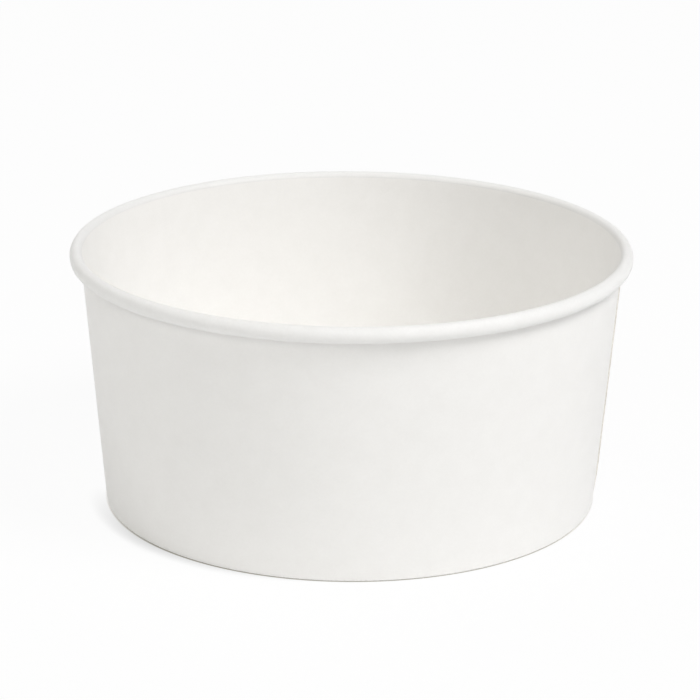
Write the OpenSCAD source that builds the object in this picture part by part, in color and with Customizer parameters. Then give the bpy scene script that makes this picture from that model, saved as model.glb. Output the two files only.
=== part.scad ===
// Paper salad bowl. The side wall is one sheet of paperboard, rolled into a cone with a
// lapped seam. Its upper edge is rolled outward into the rim, and its lower edge is folded
// up inside, where it grips the turned-down skirt of the base disc. Millimetres. The bowl
// stands on z = 0 with its axis on Z.

/* [Overall] */
// Outside diameter of the rolled rim
rim_d = 165; // [158:1:185]
// Outside diameter of the side wall at the table
foot_d = 146; // [130:1:152]
// Height from the table to the top of the rim
bowl_h = 77; // [55:1:110]

/* [Side wall] */
// Thickness of the side wall's paperboard
wall_t = 0.45; // [0.3:0.05:0.55]
// Inner radius of each of the two creases of the foot
crease_r = 0.08; // [0.04:0.02:0.14]
// Height of the hem, the part of the wall that is folded up inside, measured up the wall
hem_h = 6; // [4:0.5:6.5]

/* [Rolled rim] */
// Height of the roll
rim_h = 4.6; // [4.2:0.1:5.4]
// How far the roll stands out from the wall's outer face
rim_reach = 3.2; // [2.9:0.1:3.6]
// Half of the angle that the flatter outer side of the roll takes up
rim_side_angle = 40; // [30:2:50]
// Radius of the last turn, which is tucked up inside the roll
tuck_r = 1; // [0.8:0.05:1.1]
// Angle of that last turn
tuck_angle = 50; // [20:5:60]
// Gap between the tucked turn and the wall
tuck_gap = 0.03; // [0.02:0.01:0.1]

/* [Side seam] */
// Direction of the seam, counted from +X towards +Y
seam_dir = -1.5; // [-180:0.5:180]
// Width of the glued overlap
lap_w = 8; // [5:0.5:12]
// Length over which the outer ply runs down past the inner ply's cut edge
lap_run = 4; // [3:0.5:6]
// Depth to which the outer ply is pressed where it starts to run down
lap_press = 0.03; // [0.02:0.01:0.1]
// Width of the line that the inner ply's cut edge leaves on the food side
edge_line_w = 0.5; // [0.3:0.1:1]
// Depth of that line
edge_line_depth = 0.15; // [0.05:0.05:0.2]

/* [Base disc] */
// Thickness of the base disc's paperboard
disc_t = 0.4; // [0.3:0.05:0.6]
// Height of the disc's underside above the table
base_recess = 7.5; // [7:0.5:12]
// Outer radius of the bend between the disc and its skirt
disc_bend_r = 1; // [0.7:0.1:1.6]
// Gap between the skirt's cut edge and the fold below it
skirt_clear = 0.4; // [0.2:0.1:1]
// Gap on each side of the skirt for the seal
seal_gap = 0.02; // [0.01:0.01:0.05]

/* [Hidden] */
$fa = 2;
$fs = 0.15;
arc_step = 8;

rim_r = rim_d / 2;
foot_r = foot_d / 2;
half_t = wall_t / 2;

// The wall leans outward. Its two directions, in (radius, z), are the normal of its outer
// face and the way up along it.
wall_lean = atan((rim_r - rim_reach - foot_r) / (bowl_h - rim_h / 2));
normal = [cos(wall_lean), -sin(wall_lean)];
along = [sin(wall_lean), cos(wall_lean)];
inward = 180 - wall_lean;

// The point that lies a distance off the wall's outer face, at height z
function off_wall(off, z) = [foot_r + (off + z * along.x) / normal.x, z];
// The point that lies a distance off the wall's outer face, and a distance up the wall
function up_wall(off, up) = [foot_r, 0] + off * normal + up * along;

// A board's section is a list of its bends, and the stretches between bends are straight.
// A bend is its centre, the radius of the board's middle, the angles at which it starts
// and ends, and 1 where the food side is the outside of the bend or -1 where it is the
// inside. A cut edge is a bend of no size, with the direction that its food side faces.
function cut_edge(middle, facing) = [middle, 0, facing, facing, 1];
function bend_points(bend, off) =
    let (c = bend[0], r = bend[1] + bend[4] * off, a0 = bend[2], turn = bend[3] - bend[2])
    let (steps = max(1, ceil(abs(turn) / arc_step)), last = turn == 0 ? 0 : steps)
    [for (i = [0:last]) let (a = a0 + turn * i / steps) c + r * [cos(a), sin(a)]];
function face_points(bends, off) = [for (b = bends) each bend_points(b, off)];
function reversed(list) = [for (i = [len(list) - 1:-1:0]) list[i]];

// The part of a board between two distances from its middle, counted towards the food
module board(bends, d0, d1) {
    polygon(concat(face_points(bends, d1), reversed(face_points(bends, d0))));
}

// The roll's section is four arcs, each tangent to the next: over the top, down the outer
// side, back under, and up inside. The radii of the first three come from one set of linear
// conditions: the top and the underside are rim_h apart, the first arc leaves along the
// middle of the wall, and the third comes back to lie against the wall's outer face.
side_cos = cos(rim_side_angle);
side_sin = sin(rim_side_angle);
mid_reach = rim_r - half_t - foot_r;
side_pull = (1 - side_cos) * normal.x;
room_top = [mid_reach, bowl_h - half_t] * normal + half_t;
room_under = [mid_reach, bowl_h - rim_h + half_t] * normal - half_t - tuck_gap;
share_top = 1 + normal.x * side_cos + normal.y;
share_under = 1 + normal.x * side_cos - normal.y;
r_side = (rim_h - wall_t - (1 - side_sin) * (room_top / share_top + room_under / share_under))
       / (2 * side_sin - (1 - side_sin) * side_pull * (1 / share_top + 1 / share_under));
r_top = (room_top - side_pull * r_side) / share_top;
r_under = (room_under - side_pull * r_side) / share_under;
c_side = [rim_r - half_t - r_side, bowl_h - half_t - r_top - (r_side - r_top) * side_sin];
c_top = c_side + (r_side - r_top) * [side_cos, side_sin];
c_under = c_side + (r_side - r_under) * [side_cos, -side_sin];
c_tuck = c_under - (r_under - tuck_r) * normal;

rim_over = [
    [c_side, r_side, -rim_side_angle, rim_side_angle, 1],
    [c_top, r_top, rim_side_angle, inward, 1],
];
rim_tuck = [
    [c_tuck, tuck_r, inward - tuck_angle, inward, 1],
    [c_under, r_under, inward, 360 - rim_side_angle, 1],
];

// The foot: two creases with a flat ring between them, which the bowl stands on
slot_w = disc_t + 2 * seal_gap;
fold_w = 2 * wall_t + slot_w;
corner_r = crease_r + wall_t;
crease_mid_r = crease_r + half_t;
foot_fold = [
    [off_wall(-corner_r, corner_r), crease_mid_r, -wall_lean, -90, -1],
    [off_wall(corner_r - fold_w, corner_r), crease_mid_r, -90, -180 - wall_lean, -1],
    cut_edge(up_wall(half_t - fold_w, hem_h), -wall_lean),
];
wall_bends = concat(rim_tuck, rim_over, foot_fold);

// The base disc, from the cut edge of its skirt to the axis
skirt_face = -wall_t - seal_gap;
skirt_low = wall_t + skirt_clear;
disc_bends = [
    cut_edge(off_wall(skirt_face - disc_t / 2, skirt_low), -wall_lean),
    [off_wall(skirt_face - disc_bend_r, base_recess + disc_t - disc_bend_r),
     disc_bend_r - disc_t / 2, -wall_lean, 90, 1],
    cut_edge([0, base_recess + disc_t / 2], 90),
];

// The seam: the outer ply's cut edge is at ply_start and the inner ply's at ply_end
seam_r = off_wall(0, bowl_h / 2).x;
lap_angle = lap_w / seam_r * 180 / PI;
edge_line_angle = edge_line_w / seam_r * 180 / PI;
ply_start = seam_dir - lap_angle / 2;
ply_end = seam_dir + lap_angle / 2;
overcut = 0.2;

// The outer ply shows from just above the foot's crease, into which it is pressed, to a
// place inside the roll's returning turn, this far round below the turn's seat
roll_seat = (c_under - [foot_r, 0]) * along;
seat_angle = 25;
ply_low = 2 * corner_r;
ply_top = roll_seat - r_under * sin(seat_angle);
hem_ply_top = hem_h - half_t;
run_inset = 0.15;

// The second ply on one face of the board, from y0 to y1 up the wall. It lies on the face
// that is a distance off the wall's outer face, and stands out towards side, 1 or -1.
// Beyond the other ply's cut edge it runs down to the board over lap_run, and that stretch
// is a little shorter at both ends.
module ply(off, side, y0, y1) {
    out = off + side * wall_t;
    root = off - side * half_t;
    pressed = out - side * lap_press;
    rotate_extrude(start = ply_start, angle = lap_angle)
        polygon([up_wall(root, y0), up_wall(out, y0), up_wall(out, y1), up_wall(root, y1)]);
    rotate([0, 0, ply_end]) translate([foot_r, 0, 0]) rotate([0, wall_lean, 0])
        translate([0, 0, y0 + run_inset]) linear_extrude(height = y1 - y0 - 2 * run_inset)
            polygon([[pressed, 0], [root, lap_run], [root, -lap_run / 4], [off, -lap_run / 4]]);
}

module side_wall() {
    color([0.96, 0.96, 0.95]) difference() {
        union() {
            rotate_extrude() board(wall_bends, -half_t, half_t);
            ply(0, 1, ply_low, ply_top);
            ply(-fold_w, -1, ply_low, hem_ply_top);
        }
        rotate_extrude(start = ply_end, angle = edge_line_angle)
            board(concat(rim_over, [cut_edge(off_wall(-half_t, base_recess), inward)]),
                  half_t - edge_line_depth, half_t + overcut);
    }
}

module base_disc() {
    color([0.95, 0.95, 0.93]) rotate_extrude() board(disc_bends, -disc_t / 2, disc_t / 2);
}

side_wall();
base_disc();
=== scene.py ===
# A paper salad bowl: the paperboard pieces, their finish, and a pale studio round them.
import bisect
import math

import bmesh
import bpy
import numpy as np
from mathutils import Matrix, Vector


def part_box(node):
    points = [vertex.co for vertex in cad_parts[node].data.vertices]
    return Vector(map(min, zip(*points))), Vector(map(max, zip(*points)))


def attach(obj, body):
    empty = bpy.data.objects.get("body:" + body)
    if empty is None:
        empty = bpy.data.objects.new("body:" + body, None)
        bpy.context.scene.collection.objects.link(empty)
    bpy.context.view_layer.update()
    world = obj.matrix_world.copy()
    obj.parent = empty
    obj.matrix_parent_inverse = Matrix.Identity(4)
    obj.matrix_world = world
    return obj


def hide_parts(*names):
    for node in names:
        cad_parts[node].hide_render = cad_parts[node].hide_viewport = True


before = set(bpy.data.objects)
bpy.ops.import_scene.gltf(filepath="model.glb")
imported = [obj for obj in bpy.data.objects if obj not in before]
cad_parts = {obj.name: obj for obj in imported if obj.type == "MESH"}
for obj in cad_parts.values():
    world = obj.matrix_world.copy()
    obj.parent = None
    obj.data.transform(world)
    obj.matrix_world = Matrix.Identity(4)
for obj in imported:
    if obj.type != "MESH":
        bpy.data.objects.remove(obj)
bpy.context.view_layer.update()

MM = 0.001

# Sizes of the side wall, in millimetres. The overall sizes are read from the side wall in model.glb.
wall_low, wall_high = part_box("side_wall")
RIM_R = min(wall_high[0], wall_high[1], -wall_low[0], -wall_low[1]) / MM
BOWL_H = wall_high[2] / MM
FOOT_R = 73.0
WALL_T = 0.45
CREASE_R = 0.08
HEM_H = 6.0
RIM_H = 4.6
RIM_REACH = 3.2
RIM_SIDE_ANGLE = math.radians(40)
TUCK_R = 1.0
TUCK_ANGLE = math.radians(50)
TUCK_GAP = 0.03

# Sizes of the base disc
DISC_T = 0.4
BASE_RECESS = 7.5
DISC_BEND_R = 1.0
SKIRT_CLEAR = 0.4
SEAL_GAP = 0.02

# The side seam. The outer ply rises out of the foot's press between the two heights of
# PLY_RISE, measured up the wall, and fades out over PLY_FADE below the roll's seat.
SEAM_DIR = math.radians(-1.5)
LAP_W = 8.0
LAP_RUN = 4.0
PLY_RISE = (0.6, 1.3)
PLY_FADE = 1.0
EDGE_LINE_W = 0.5
EDGE_LINE_DEPTH = 0.15

# The knurl on the hem, with the heights between which it rises and falls off
KNURL_RIBS = 150
KNURL_DEPTH = 0.1
KNURL_RISE = (1.2, 1.8)
KNURL_FALL = (4.6, 5.2)

HALF_T = WALL_T / 2
LEAN = math.atan((RIM_R - RIM_REACH - FOOT_R) / (BOWL_H - RIM_H / 2))
NORMAL = np.array([math.cos(LEAN), -math.sin(LEAN)])
ALONG = np.array([math.sin(LEAN), math.cos(LEAN)])
FOOT = np.array([FOOT_R, 0.0])
INWARD = math.pi - LEAN

# How finely the meshes are cut: steps in each zone of a section, rings of the disc's flat as
# shares of its radius, and directions round the axis
STEPS = {"tuck": 5, "under": 16, "side": 9, "top": 16, "wall": 9, "foot": 4, "hem": 9,
         "skirt": 4, "bend": 10}
DISC_RINGS = (0.985, 0.96, 0.92, 0.86, 0.75, 0.6, 0.42, 0.22, 0.0)
WALL_TURNS = 600
DISC_TURNS = 360

# More directions at the seam, in millimetres: this far on both sides of a ply's cut edge, and
# at these distances past the inner ply's, where the outer ply runs down
CRISP = 0.012
RUN_LINES = (0.15, 0.3, 0.5, 0.75, 1.0, 1.3, 1.6, 2.0, 2.4, 2.8, 3.2)

# The finishes of a board, in the order of FINISHES. A face whose two sides differ in height by
# more than CUT_STEP millimetres is a cut edge.
# RIM is the food side over the roll, in a darker, greyer copy of its board: painted shade.
FOOD_SIDE, TABLE_SIDE, CUT_EDGE, RIM = range(4)
RIM_ZONES = ("under", "side", "top")
CUT_STEP = 0.12
SHARP_ANGLE = math.radians(35)
MERGE_DISTANCE = 1e-8


def off_wall(off, z):
    """The point, in (radius, z), a distance off the wall's outer face at height z."""
    return np.array([FOOT_R + (off + z * ALONG[0]) / NORMAL[0], z])


def up_wall(off, up):
    """The point a distance off the wall's outer face and a distance up the wall."""
    return FOOT + off * NORMAL + up * ALONG


def roll_bends():
    """The rim's four arcs, each (centre, radius of the board's middle, first angle, last angle)."""
    side_cos = math.cos(RIM_SIDE_ANGLE)
    side_sin = math.sin(RIM_SIDE_ANGLE)
    reach = RIM_R - HALF_T - FOOT_R
    pull = (1 - side_cos) * NORMAL[0]
    room_top = np.dot([reach, BOWL_H - HALF_T], NORMAL) + HALF_T
    room_under = np.dot([reach, BOWL_H - RIM_H + HALF_T], NORMAL) - HALF_T - TUCK_GAP
    share_top = 1 + NORMAL[0] * side_cos + NORMAL[1]
    share_under = 1 + NORMAL[0] * side_cos - NORMAL[1]
    both = room_top / share_top + room_under / share_under
    r_side = (RIM_H - WALL_T - (1 - side_sin) * both) / (
        2 * side_sin - (1 - side_sin) * pull * (1 / share_top + 1 / share_under))
    r_top = (room_top - pull * r_side) / share_top
    r_under = (room_under - pull * r_side) / share_under
    c_side = np.array([RIM_R - HALF_T - r_side,
                       BOWL_H - HALF_T - r_top - (r_side - r_top) * side_sin])
    c_top = c_side + (r_side - r_top) * np.array([side_cos, side_sin])
    c_under = c_side + (r_side - r_under) * np.array([side_cos, -side_sin])
    c_tuck = c_under - (r_under - TUCK_R) * NORMAL
    return {
        "tuck": (c_tuck, TUCK_R, INWARD - TUCK_ANGLE, INWARD),
        "under": (c_under, r_under, INWARD, 2 * math.pi - RIM_SIDE_ANGLE),
        "side": (c_side, r_side, -RIM_SIDE_ANGLE, RIM_SIDE_ANGLE),
        "top": (c_top, r_top, RIM_SIDE_ANGLE, INWARD),
    }


def smooth(x, low, high):
    """0 below low, 1 above high, and a smooth rise between them."""
    t = np.clip((np.asarray(x, float) - low) / (high - low), 0, 1)
    return t * t * (3 - 2 * t)


class Path:
    """The middle of a board in section: points, the way the food side faces, and zones."""

    def __init__(self):
        self.points = []
        self.facing = []
        self.zones = []

    def add(self, zone, point, facing):
        self.points.append(np.array(point, float))
        self.facing.append(np.array(facing, float))
        self.zones.append(zone)

    def arc(self, zone, bend, food_side=1, skip_first=True):
        """Points round a bend. Its outside is the food side where food_side is 1, not -1."""
        centre, radius, first, last = bend
        for i in range(1 if skip_first else 0, STEPS[zone] + 1):
            a = first + (last - first) * i / STEPS[zone]
            out = np.array([math.cos(a), math.sin(a)])
            self.add(zone, centre + radius * out, food_side * out)

    def straight(self, zone, end):
        start, facing = self.points[-1], self.facing[-1]
        for i in range(1, STEPS[zone] + 1):
            self.add(zone, start + (end - start) * i / STEPS[zone], facing)


def wall_path():
    """From the edge tucked up inside the rim, over the roll, down the wall and up the hem."""
    fold_w = 2 * WALL_T + DISC_T + 2 * SEAL_GAP
    corner_r = CREASE_R + WALL_T
    crease_r = CREASE_R + HALF_T
    path = Path()
    for zone, bend in roll_bends().items():
        path.arc(zone, bend, skip_first=bool(path.points))
    crease = off_wall(-corner_r, corner_r)
    path.straight("wall", crease + crease_r * NORMAL)
    path.arc("foot", (crease, crease_r, -LEAN, -math.pi / 2), -1)
    crease = off_wall(corner_r - fold_w, corner_r)
    path.arc("foot", (crease, crease_r, -math.pi / 2, -math.pi - LEAN), -1, skip_first=False)
    path.straight("hem", up_wall(HALF_T - fold_w, HEM_H))
    return path


def disc_path():
    """From the cut edge of the skirt, over the bend, to the axis."""
    face = -WALL_T - SEAL_GAP
    centre = off_wall(face - DISC_BEND_R, BASE_RECESS + DISC_T - DISC_BEND_R)
    radius = DISC_BEND_R - DISC_T / 2
    path = Path()
    path.add("skirt", off_wall(face - DISC_T / 2, WALL_T + SKIRT_CLEAR), NORMAL)
    path.straight("skirt", centre + radius * NORMAL)
    path.arc("bend", (centre, radius, -LEAN, math.pi / 2))
    flat_r, flat_z = path.points[-1]
    for share in DISC_RINGS:
        path.add("disc", (flat_r * share, flat_z), (0.0, 1.0))
    return path


def azimuths(count, extra=()):
    """Evenly spaced directions, with extra ones in place of those that lie close to them."""
    spacing = 2 * math.pi / count
    clear = spacing / 3
    kept = sorted(a % (2 * math.pi) for a in extra)
    even = [i * spacing for i in range(count)]
    for a in even:
        i = bisect.bisect(kept, a)
        near = [kept[j % len(kept)] for j in (i - 1, i)] if kept else []
        gaps = [abs((a - b + math.pi) % (2 * math.pi) - math.pi) for b in near]
        if not gaps or min(gaps) > clear:
            kept.insert(i, a)
    return np.array(kept)


def board_mesh(name, path, thickness, angles, materials, food_shift=0, table_shift=0):
    """A board revolved round the axis. The shifts add height to its two faces, point by point."""
    points = np.array(path.points)
    facing = np.array(path.facing)
    count, turns = len(points), len(angles)
    half = np.full((count, turns), thickness / 2)
    food = half + food_shift
    table = half + table_shift
    rings = np.concatenate([
        points[:, None, :] + food[:, :, None] * facing[:, None, :],
        (points[:, None, :] - table[:, :, None] * facing[:, None, :])[::-1],
    ])
    radius = np.maximum(rings[:, :, 0], 0) * MM
    coords = np.stack([radius * np.cos(angles), radius * np.sin(angles), rings[:, :, 1] * MM], -1)
    heights = np.concatenate([food, table[::-1]])
    stepped = np.abs(heights - np.roll(heights, -1, axis=1)) > CUT_STEP
    faces, finish = [], []
    rows = 2 * count
    closed_at_axis = points[-1][0] == 0
    for i in range(rows):
        if closed_at_axis and i == count - 1:
            continue
        j = (i + 1) % rows
        if i in (count - 1, rows - 1):
            kind = CUT_EDGE
        elif i > count - 1:
            kind = TABLE_SIDE
        else:
            # The roll's food side takes the darker copy of the board, painted shade.
            kind = RIM if path.zones[j] in RIM_ZONES else FOOD_SIDE
        for k in range(turns):
            m = (k + 1) % turns
            faces.append((i * turns + k, j * turns + k, j * turns + m, i * turns + m))
            finish.append(CUT_EDGE if stepped[i, k] or stepped[j, k] else kind)
    mesh = bpy.data.meshes.new(name)
    mesh.from_pydata(coords.reshape(-1, 3).tolist(), [], faces)
    for material in materials:
        mesh.materials.append(material)
    mesh.polygons.foreach_set("material_index", finish)
    work = bmesh.new()
    work.from_mesh(mesh)
    if closed_at_axis:
        bmesh.ops.remove_doubles(work, verts=work.verts, dist=MERGE_DISTANCE)
        bmesh.ops.dissolve_degenerate(work, edges=work.edges, dist=MERGE_DISTANCE)
    bmesh.ops.recalc_face_normals(work, faces=work.faces)
    work.to_mesh(mesh)
    work.free()
    mesh.polygons.foreach_set("use_smooth", [True] * len(mesh.polygons))
    mesh.set_sharp_from_angle(angle=SHARP_ANGLE)
    piece = bpy.data.objects.new(name, mesh)
    bpy.context.scene.collection.objects.link(piece)
    return piece


def turned(angles, origin):
    """How far each direction lies past the origin, between minus and plus half a turn."""
    return (angles - origin + math.pi) % (2 * math.pi) - math.pi


def zone_mask(path, *names):
    """1 at the path's points in the named zones, else 0."""
    return np.array([z in names for z in path.zones], float)


def make_side_wall(materials):
    seam_r = off_wall(0, BOWL_H / 2)[0]
    start = SEAM_DIR - LAP_W / seam_r / 2
    end = SEAM_DIR + LAP_W / seam_r / 2
    crisp = CRISP / seam_r
    lines = [start - crisp, start + crisp, end - crisp, end + crisp]
    lines += [end + s / seam_r for s in RUN_LINES]
    angles = azimuths(WALL_TURNS, lines)
    past_start = turned(angles, start) * seam_r
    past_end = turned(angles, end) * seam_r
    path = wall_path()
    up = np.array([np.dot(p - FOOT, ALONG) for p in path.points])

    # The outer ply stands a board's thickness proud, from its own cut edge to the inner ply's,
    # and runs down from there
    ply = WALL_T * (past_start > 0) * (1 - smooth(past_end, 0, LAP_RUN))
    seat = np.dot(roll_bends()["under"][0] - FOOT, ALONG)
    shown = zone_mask(path, "wall") * smooth(up, *PLY_RISE) * (1 - smooth(up, seat - PLY_FADE, seat))
    shown += zone_mask(path, "hem") * smooth(up, *PLY_RISE)
    table_shift = shown[:, None] * ply[None, :]

    # The hem's inner face is knurled where it is pressed against the skirt
    knurl = 0.5 - 0.5 * np.cos(KNURL_RIBS * angles)
    band = zone_mask(path, "hem") * smooth(up, *KNURL_RISE) * (1 - smooth(up, *KNURL_FALL))
    table_shift -= KNURL_DEPTH * band[:, None] * knurl[None, :]

    # The inner ply's cut edge shows on the food side as a fine step
    line = (past_end > 0) * (1 - smooth(past_end, 0, EDGE_LINE_W))
    over = zone_mask(path, *RIM_ZONES[1:], "wall")
    food_shift = -EDGE_LINE_DEPTH * over[:, None] * line[None, :]

    piece = board_mesh("side_wall_board", path, WALL_T, angles, materials, food_shift, table_shift)
    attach(piece, "root")
    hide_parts("side_wall")


def make_base_disc(materials):
    angles = azimuths(DISC_TURNS)
    piece = board_mesh("base_disc_board", disc_path(), DISC_T, angles, materials)
    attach(piece, "root")
    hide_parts("base_disc")


# The board's tone has large faint clouds and small specks, its roughness varies a little, and
# its surface has a slight cockle and a fine fibre grain. Each is a noise: its scale, in cycles
# a metre, its detail and its roughness.
CLOUDS = (150.0, 4.0, 0.6)
SPECKS = (1400.0, 2.0, 0.6)
POLISH = (260.0, 3.0, 0.5)
COCKLE = (60.0, 2.0, 0.5)
GRAIN = (2200.0, 3.0, 0.65)

# How far the clouds and specks spread the tone between dark and light, what share the specks
# have in it, and how far the roughness spreads to each side
CLOUD_TONES = (0.1, 0.9)
SPECK_TONES = (-1.0, 1.0)
SPECK_SHARE = 0.35
POLISH_SPREAD = 0.05

# Heights of the surface in metres, and the strength of the cockle
COCKLE_HEIGHT = 0.0004
COCKLE_STRENGTH = 0.15
GRAIN_HEIGHT = 0.00004
SPECULAR_LEVEL = 0.25

# The stretch of its values in which most of a noise lies
NOISE_LOW = 0.3
NOISE_HIGH = 0.7

# Each finish: light tone, dark tone, roughness, and strength of the fibre grain
FINISHES = {
    "food_side_board": ((0.940, 0.930, 0.914), (0.916, 0.906, 0.888), 0.45, 0.25),
    "outer_side_board": ((0.906, 0.899, 0.886), (0.884, 0.876, 0.862), 0.55, 0.4),
    "cut_edge_board": ((0.84, 0.82, 0.77), (0.72, 0.69, 0.63), 0.85, 0.9),
    # The same board as the food side, darker and greyer on the roll: painted shade.
    "rim_board_painted_shade": ((0.890, 0.886, 0.878), (0.862, 0.857, 0.847), 0.50, 0.25),
}


def node(tree, kind, **inputs):
    """A new node. Each named input is set to a value, or linked from another node's output."""
    made = tree.nodes.new(kind)
    for key, value in inputs.items():
        if isinstance(value, bpy.types.NodeSocket):
            tree.links.new(value, made.inputs[key])
        else:
            made.inputs[key].default_value = value
    return made


def arithmetic(tree, operation, *values):
    """One step of arithmetic on numbers and other nodes' outputs."""
    made = tree.nodes.new("ShaderNodeMath")
    made.operation = operation
    for socket, value in zip(made.inputs, values):
        if isinstance(value, bpy.types.NodeSocket):
            tree.links.new(value, socket)
        else:
            socket.default_value = value
    return made.outputs["Value"]


def blend(tree, share, first, second):
    """The first colour where the share is 0, the second where it is 1."""
    made = tree.nodes.new("ShaderNodeMix")
    made.data_type = "RGBA"
    made.inputs["A"].default_value = (*first, 1)
    made.inputs["B"].default_value = (*second, 1)
    tree.links.new(share, made.inputs["Factor"])
    return made.outputs["Result"]


def noise(tree, place, scale, detail, roughness):
    made = node(tree, "ShaderNodeTexNoise", Vector=place, Scale=scale, Detail=detail,
                Roughness=roughness)
    return made.outputs["Fac"]


def spread(tree, value, low, high):
    """A noise's values, stretched to lie between low and high."""
    made = node(tree, "ShaderNodeMapRange", **{
        "Value": value, "From Min": NOISE_LOW, "From Max": NOISE_HIGH, "To Min": low, "To Max": high})
    return made.outputs["Result"]


def paper(name, light, dark, roughness, fibre):
    """Paperboard: faint clouds in its tone, a fibre grain and a slight cockle."""
    material = bpy.data.materials.new(name)
    material.use_nodes = True
    tree = material.node_tree
    shader = tree.nodes["Principled BSDF"]
    place = tree.nodes.new("ShaderNodeTexCoord").outputs["Object"]
    clouds = spread(tree, noise(tree, place, *CLOUDS), *CLOUD_TONES)
    specks = spread(tree, noise(tree, place, *SPECKS), *SPECK_TONES)
    share = arithmetic(tree, "MULTIPLY_ADD", specks, SPECK_SHARE, clouds)
    tree.links.new(blend(tree, share, dark, light), shader.inputs["Base Color"])
    polish = spread(tree, noise(tree, place, *POLISH), roughness - POLISH_SPREAD,
                    roughness + POLISH_SPREAD)
    tree.links.new(polish, shader.inputs["Roughness"])
    cockle = node(tree, "ShaderNodeBump", Height=noise(tree, place, *COCKLE),
                  Distance=COCKLE_HEIGHT, Strength=COCKLE_STRENGTH)
    grain = node(tree, "ShaderNodeBump", Height=noise(tree, place, *GRAIN),
                 Distance=GRAIN_HEIGHT, Strength=fibre, Normal=cockle.outputs["Normal"])
    tree.links.new(grain.outputs["Normal"], shader.inputs["Normal"])
    shader.inputs["Specular IOR Level"].default_value = SPECULAR_LEVEL
    return material


WHITE = (1.0, 1.0, 1.0)
WARM = (1.0, 0.988, 0.94)

# Each lamp: name, degrees to the right of the camera, degrees up, the brightness that it gives
# a white surface facing it, and colour. The fill is the brightness that the world gives.
LAMPS = (
    ("key", 60, 49, 0.572, WHITE),
    ("left", -60, 35, 0.138, WARM),
    ("front", 0, 35, 0.155, WARM),
    ("back", -120, 38, 0.15, WARM),
)
LAMP_DISTANCE = 3.5
LAMP_SIZE = 1.6
FILL_LEVEL = 0.262

# The floor lights the bowl with its plain tone. To the camera it glows nearly white, and a
# thin veil of plain tone on it keeps the cast shadow.
FLOOR_REACH = 6.0
FLOOR_TONE = 0.95
FLOOR_VEIL = 0.06
FLOOR_GLOW = 0.932

# The glow dims next to the foot, a painted contact shadow in a soft shade and in a thin line. Each of
# the two: reach in metres, lean of the normal by which openness is judged, the openness below which
# the floor is dimmest and above which it is plain, and the share of the glow that is left where
# dimmest.
SOFT_SHADE = (0.010, math.radians(65), 0.35, 0.60, 0.67)
LINE_SHADE = (0.0006, math.radians(30), 0.45, 0.95, 0.40)

# The normal leans this way, counted from +X towards +Y, so the shade lies at the bowl's left.
# It comes in between two distances, in metres, in front of the axis. The painted shadow line is
# tinted.
SHADE_TURN = math.radians(10)
SHADE_BACK = 0.0
SHADE_FRONT = 0.045
SHADE_SAMPLES = 32
SHADE_LINE_COLOR = (1.0, 0.93, 0.72)


def shown_to_camera(tree):
    """1 for what the camera sees, directly or by a mirror or glass, else 0."""
    rays = tree.nodes.new("ShaderNodeLightPath").outputs
    seen = arithmetic(tree, "MAXIMUM", rays["Is Camera Ray"], rays["Is Glossy Ray"])
    return arithmetic(tree, "MAXIMUM", seen, rays["Is Transmission Ray"])


def make_world():
    world = bpy.data.worlds.new("studio")
    bpy.context.scene.world = world
    world.use_nodes = True
    tree = world.node_tree
    level = node(tree, "ShaderNodeMapRange", **{
        "Value": shown_to_camera(tree), "To Min": FILL_LEVEL, "To Max": 1.0})
    background = tree.nodes["Background"]
    background.inputs["Color"].default_value = (*WHITE, 1)
    tree.links.new(level.outputs["Result"], background.inputs["Strength"])


def in_front(tree, low):
    """Low in front of the bowl, 1 beside it and behind."""
    place = tree.nodes.new("ShaderNodeTexCoord").outputs["Object"]
    split = node(tree, "ShaderNodeSeparateXYZ", Vector=place)
    made = node(tree, "ShaderNodeMapRange", **{
        "Value": split.outputs["Y"], "From Min": -SHADE_BACK, "From Max": -SHADE_FRONT,
        "To Min": 1.0, "To Max": low})
    return made.outputs["Result"]


def openness(tree, reach, lean, closed, opened, low):
    """How open the floor is within a short reach: low in front where it is closed, else 1."""
    facing = node(tree, "ShaderNodeCombineXYZ", X=math.sin(lean) * math.cos(SHADE_TURN),
                  Y=math.sin(lean) * math.sin(SHADE_TURN), Z=math.cos(lean))
    found = node(tree, "ShaderNodeAmbientOcclusion", Distance=reach, Normal=facing.outputs["Vector"])
    found.samples = SHADE_SAMPLES
    made = node(tree, "ShaderNodeMapRange", **{
        "Value": found.outputs["AO"], "From Min": closed, "From Max": opened,
        "To Min": in_front(tree, low)})
    return made.outputs["Result"]


def floor_material():
    """Nearly white to the camera, dimmed next to the foot by a painted contact shadow, and plain to
    all other rays.
    """
    material = bpy.data.materials.new("studio_floor")
    material.use_nodes = True
    tree = material.node_tree
    tree.nodes.remove(tree.nodes["Principled BSDF"])
    plain = node(tree, "ShaderNodeBsdfDiffuse", Color=(FLOOR_TONE, FLOOR_TONE, FLOOR_TONE, 1))
    veil = node(tree, "ShaderNodeBsdfDiffuse", Color=(FLOOR_VEIL, FLOOR_VEIL, FLOOR_VEIL, 1))
    # The painted contact shadow: a thin tinted line and a soft shade that dim the glow.
    line = openness(tree, *LINE_SHADE)
    open_share = arithmetic(tree, "MULTIPLY", openness(tree, *SOFT_SHADE), line)
    glow = node(tree, "ShaderNodeEmission", Color=blend(tree, line, SHADE_LINE_COLOR, WHITE),
                Strength=arithmetic(tree, "MULTIPLY", open_share, FLOOR_GLOW))
    seen = tree.nodes.new("ShaderNodeAddShader")
    tree.links.new(veil.outputs["BSDF"], seen.inputs[0])
    tree.links.new(glow.outputs["Emission"], seen.inputs[1])
    choice = node(tree, "ShaderNodeMixShader", Fac=shown_to_camera(tree))
    tree.links.new(plain.outputs["BSDF"], choice.inputs[1])
    tree.links.new(seen.outputs["Shader"], choice.inputs[2])
    tree.links.new(choice.outputs["Shader"], tree.nodes["Material Output"].inputs["Surface"])
    return material


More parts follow.
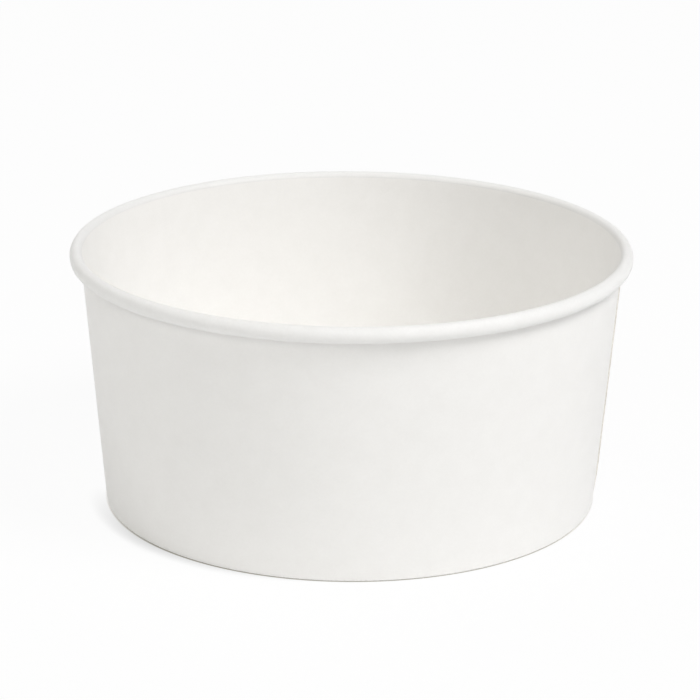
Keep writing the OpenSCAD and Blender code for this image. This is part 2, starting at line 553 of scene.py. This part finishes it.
def make_floor():
    mesh = bpy.data.meshes.new("studio_floor")
    r = FLOOR_REACH
    mesh.from_pydata([(-r, -r, 0), (r, -r, 0), (r, r, 0), (-r, r, 0)], [], [(0, 1, 2, 3)])
    mesh.materials.append(floor_material())
    floor = bpy.data.objects.new("studio_floor", mesh)
    bpy.context.scene.collection.objects.link(floor)


def make_lamp(name, azimuth, elevation, level, color):
    """A large soft disc, aimed at the middle of the bowl."""
    lamp = bpy.data.lights.new(name, "AREA")
    lamp.shape = "DISK"
    lamp.size = LAMP_SIZE
    lamp.color = color
    lamp.energy = level * (math.pi * LAMP_DISTANCE) ** 2
    holder = bpy.data.objects.new(name, lamp)
    azimuth, elevation = math.radians(azimuth), math.radians(elevation)
    flat = LAMP_DISTANCE * math.cos(elevation)
    holder.location = (flat * math.sin(azimuth), -flat * math.cos(azimuth),
                       LAMP_DISTANCE * math.sin(elevation))
    aim = Vector((0, 0, BOWL_H * MM / 2)) - holder.location
    holder.rotation_euler = aim.to_track_quat("-Z", "Y").to_euler()
    bpy.context.scene.collection.objects.link(holder)


# The photograph's camera, fitted to the ellipses of rim and foot. Its place is in metres, and
# its sensor's width in millimetres.
CAMERA_BACK = 0.8632
CAMERA_UP = 0.3301
CAMERA_PAN = math.radians(-0.016)
CAMERA_TILT = math.radians(18.348)
CAMERA_ROLL = math.radians(0.373)
FOCAL_PIXELS = 3064.3
FRAME_PIXELS = 700
SENSOR = 36.0


def make_camera():
    data = bpy.data.cameras.new("camera")
    data.sensor_width = SENSOR
    data.lens = SENSOR * FOCAL_PIXELS / FRAME_PIXELS
    camera = bpy.data.objects.new("camera", data)
    ahead = Vector((math.sin(CAMERA_PAN) * math.cos(CAMERA_TILT),
                    math.cos(CAMERA_PAN) * math.cos(CAMERA_TILT), -math.sin(CAMERA_TILT)))
    level = Vector((math.cos(CAMERA_PAN), -math.sin(CAMERA_PAN), 0))
    top = level.cross(ahead)
    right = level * math.cos(CAMERA_ROLL) + top * math.sin(CAMERA_ROLL)
    up = top * math.cos(CAMERA_ROLL) - level * math.sin(CAMERA_ROLL)
    turn = Matrix((right, up, -ahead)).transposed()
    camera.matrix_world = Matrix.Translation((0, -CAMERA_BACK, CAMERA_UP)) @ turn.to_4x4()
    bpy.context.scene.collection.objects.link(camera)
    bpy.context.scene.camera = camera


make_camera()
make_world()
make_floor()
for lamp in LAMPS:
    make_lamp(*lamp)

boards = [paper(name, *finish) for name, finish in FINISHES.items()]
make_side_wall(boards)
make_base_disc(boards[:RIM])

bpy.context.scene.view_settings.view_transform = "Standard"
